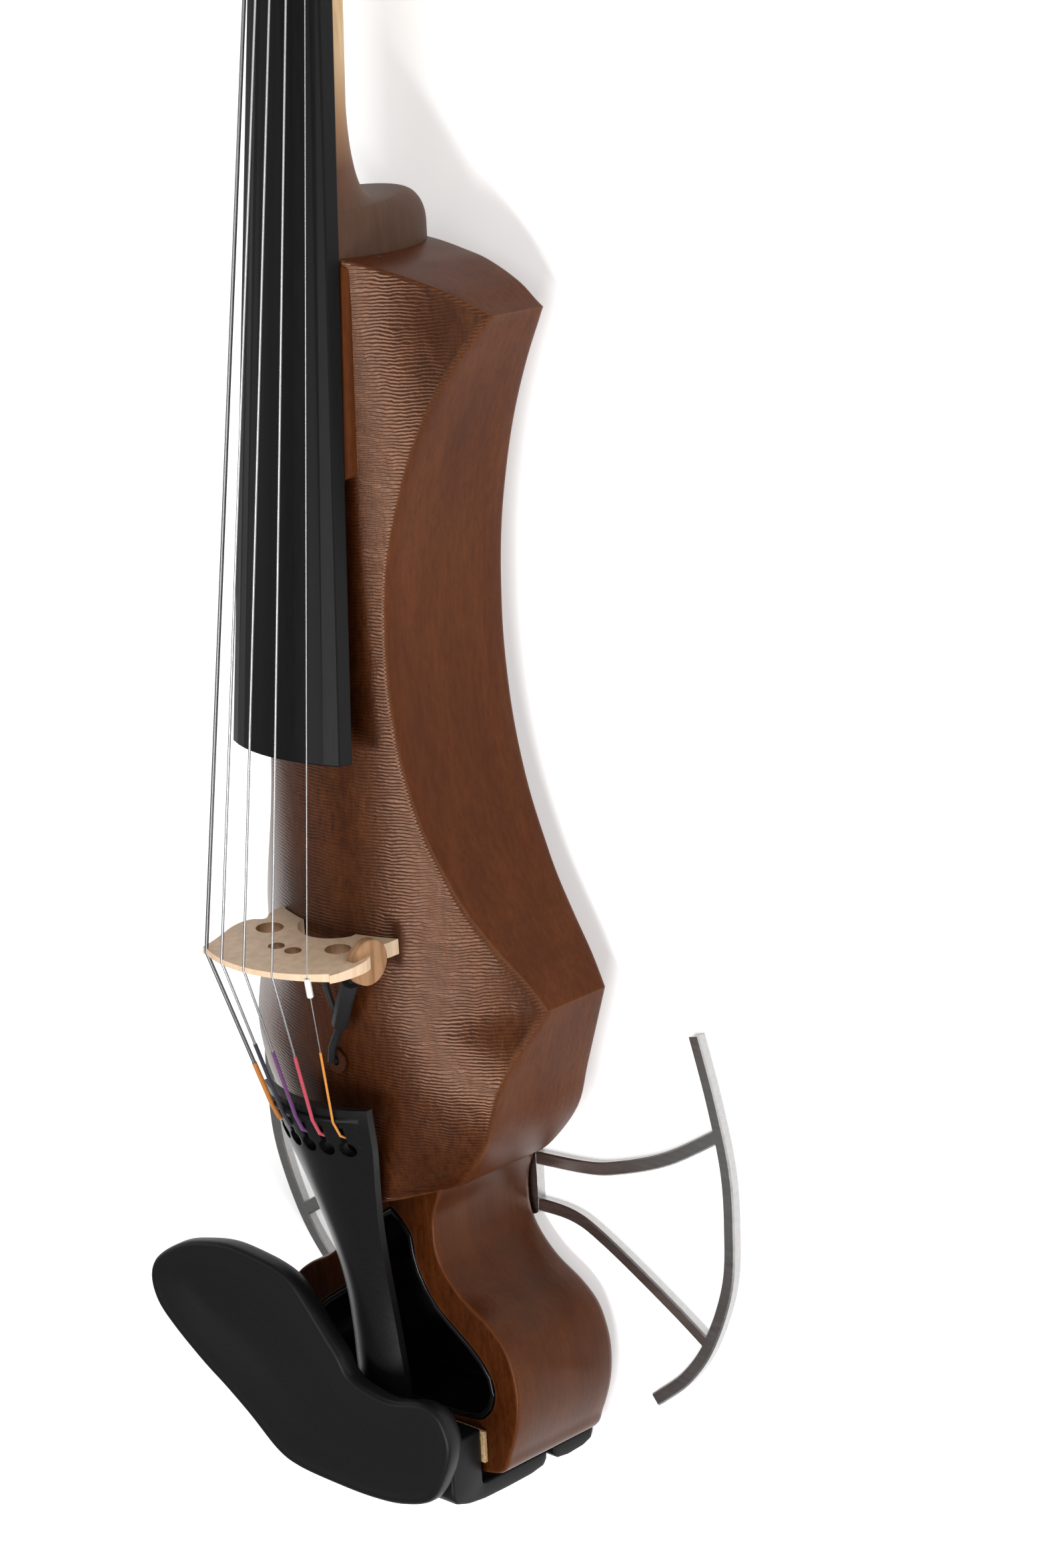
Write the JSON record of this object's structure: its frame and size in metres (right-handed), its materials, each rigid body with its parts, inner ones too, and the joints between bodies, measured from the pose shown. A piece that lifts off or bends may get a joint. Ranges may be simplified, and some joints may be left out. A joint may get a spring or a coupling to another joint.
{
  "type": "electric violin",
  "caption": "Electric violin with a waisted solid wood body, an extended tail with a pear-shaped pocket, a side chin rest, a disc pickup at the bridge and a winged metal shoulder bracket.",
  "frame": {"origin": "middle of the flat back face of the shoulder bracket", "axes": "+X toward the treble side, +Y toward the scroll, +Z out of the front of the violin"},
  "size_m": [0.194, 0.6037, 0.0974],
  "materials": {
    "stained_wood": "stained satin maple",
    "maple": "oiled maple",
    "ebony": "satin black wood",
    "black_plastic": "matte black",
    "rubber_lead": "black rubber",
    "white_plastic": "milky white",
    "steel": "polished steel",
    "aluminium": "brushed aluminium",
    "cork": "natural cork",
    "circuit_board": "green lacquer",
    "battery_can": "dark grey sleeve"
  },
  "bodies": {
    "violin": {"body": "stained_wood", "neck": "maple", "bridge": "maple", "pickup_disc": "maple", "fingerboard": "ebony", "nut": "ebony", "tailpiece": "ebony", "tailpiece_fret": "ebony", "saddle": "ebony", "end_button": "ebony", "chinrest_plate": "black_plastic", "clamp_jaw_treble": "black_plastic", "clamp_jaw_bass": "black_plastic", "pocket_liner": "black_plastic", "rear_cover": "black_plastic", "battery_snap": "black_plastic", "pickup_sleeve": "rubber_lead", "pickup_lead": "rubber_lead", "cable_grommet": "rubber_lead", "tailgut": "rubber_lead", "string_protector": "white_plastic", "string_c": "steel", "string_g": "steel", "string_d": "steel", "string_a": "steel", "string_e": "steel", "bracket_screw_1": "steel", "bracket_screw_2": "steel", "bracket_screw_3": "steel", "bracket_screw_4": "steel", "cover_screw_1": "steel", "cover_screw_2": "steel", "cover_screw_3": "steel", "cover_screw_4": "steel", "volume_pot": "steel", "tone_pot": "steel", "jack_socket": "steel", "headphone_socket": "steel", "door_hinge_pin": "steel", "shoulder_bracket": "aluminium", "front_cork_treble": "cork", "front_cork_bass": "cork", "preamp_board": "circuit_board", "battery": "battery_can"},
    "peg_c": {"peg_c": "ebony"},
    "peg_e": {"peg_e": "ebony"},
    "peg_g": {"peg_g": "ebony"},
    "peg_a": {"peg_a": "ebony"},
    "peg_d": {"peg_d": "ebony"},
    "volume_knob": {"volume_knob": "black_plastic"},
    "tone_knob": {"tone_knob": "black_plastic"},
    "battery_door": {"battery_door": "black_plastic"},
    "clamp_hook_treble": {"clamp_hook_treble": "black_plastic", "back_cork_treble": "cork"},
    "clamp_screw_treble": {"clamp_screw_treble": "steel"},
    "clamp_hook_bass": {"clamp_hook_bass": "black_plastic", "back_cork_bass": "cork"},
    "clamp_screw_bass": {"clamp_screw_bass": "steel"}
  },
  "joints": [
    {"name": "peg_c_turn", "type": "hinge", "parent": "violin", "child": "peg_c", "pos_m": [0, 0.43225, 0.03651], "axis": [1, 0, 0], "continuous": true},
    {"name": "peg_e_turn", "type": "hinge", "parent": "violin", "child": "peg_e", "pos_m": [0, 0.44421, 0.03544], "axis": [1, 0, 0], "continuous": true},
    {"name": "peg_g_turn", "type": "hinge", "parent": "violin", "child": "peg_g", "pos_m": [0, 0.45616, 0.03436], "axis": [1, 0, 0], "continuous": true},
    {"name": "peg_a_turn", "type": "hinge", "parent": "violin", "child": "peg_a", "pos_m": [0, 0.46811, 0.03328], "axis": [1, 0, 0], "continuous": true},
    {"name": "peg_d_turn", "type": "hinge", "parent": "violin", "child": "peg_d", "pos_m": [0, 0.48006, 0.0322], "axis": [1, 0, 0], "continuous": true},
    {"name": "volume_turn", "type": "hinge", "parent": "violin", "child": "volume_knob", "pos_m": [-0.019, -0.045, 0.0056], "axis": [0, 0, 1], "range_deg": [-150, 150]},
    {"name": "tone_turn", "type": "hinge", "parent": "violin", "child": "tone_knob", "pos_m": [0.019, -0.045, 0.0056], "axis": [0, 0, 1], "range_deg": [-150, 150]},
    {"name": "battery_door_hinge", "type": "hinge", "parent": "violin", "child": "battery_door", "pos_m": [0, 0.153, 0.0109], "axis": [1, 0, 0], "range_deg": [0, 90]},
    {"name": "clamp_slide_treble", "type": "slide", "parent": "violin", "child": "clamp_hook_treble", "axis": [0, 0, -1], "range_m": [0, 0.006]},
    {"name": "clamp_turn_treble", "type": "hinge", "parent": "clamp_hook_treble", "child": "clamp_screw_treble", "pos_m": [0.028, -0.082, 0.0191], "axis": [0, 0, -1], "range_deg": [0, 3090]},
    {"name": "clamp_slide_bass", "type": "slide", "parent": "violin", "child": "clamp_hook_bass", "axis": [0, 0, -1], "range_m": [0, 0.006]},
    {"name": "clamp_turn_bass", "type": "hinge", "parent": "clamp_hook_bass", "child": "clamp_screw_bass", "pos_m": [-0.024, -0.082, 0.0191], "axis": [0, 0, -1], "range_deg": [0, 3090]}
  ],
  "couplings": [
    {"joint": "clamp_turn_treble", "follows": "clamp_slide_treble", "rad_per_m": 8976},
    {"joint": "clamp_turn_bass", "follows": "clamp_slide_bass", "rad_per_m": 8976}
  ]
}
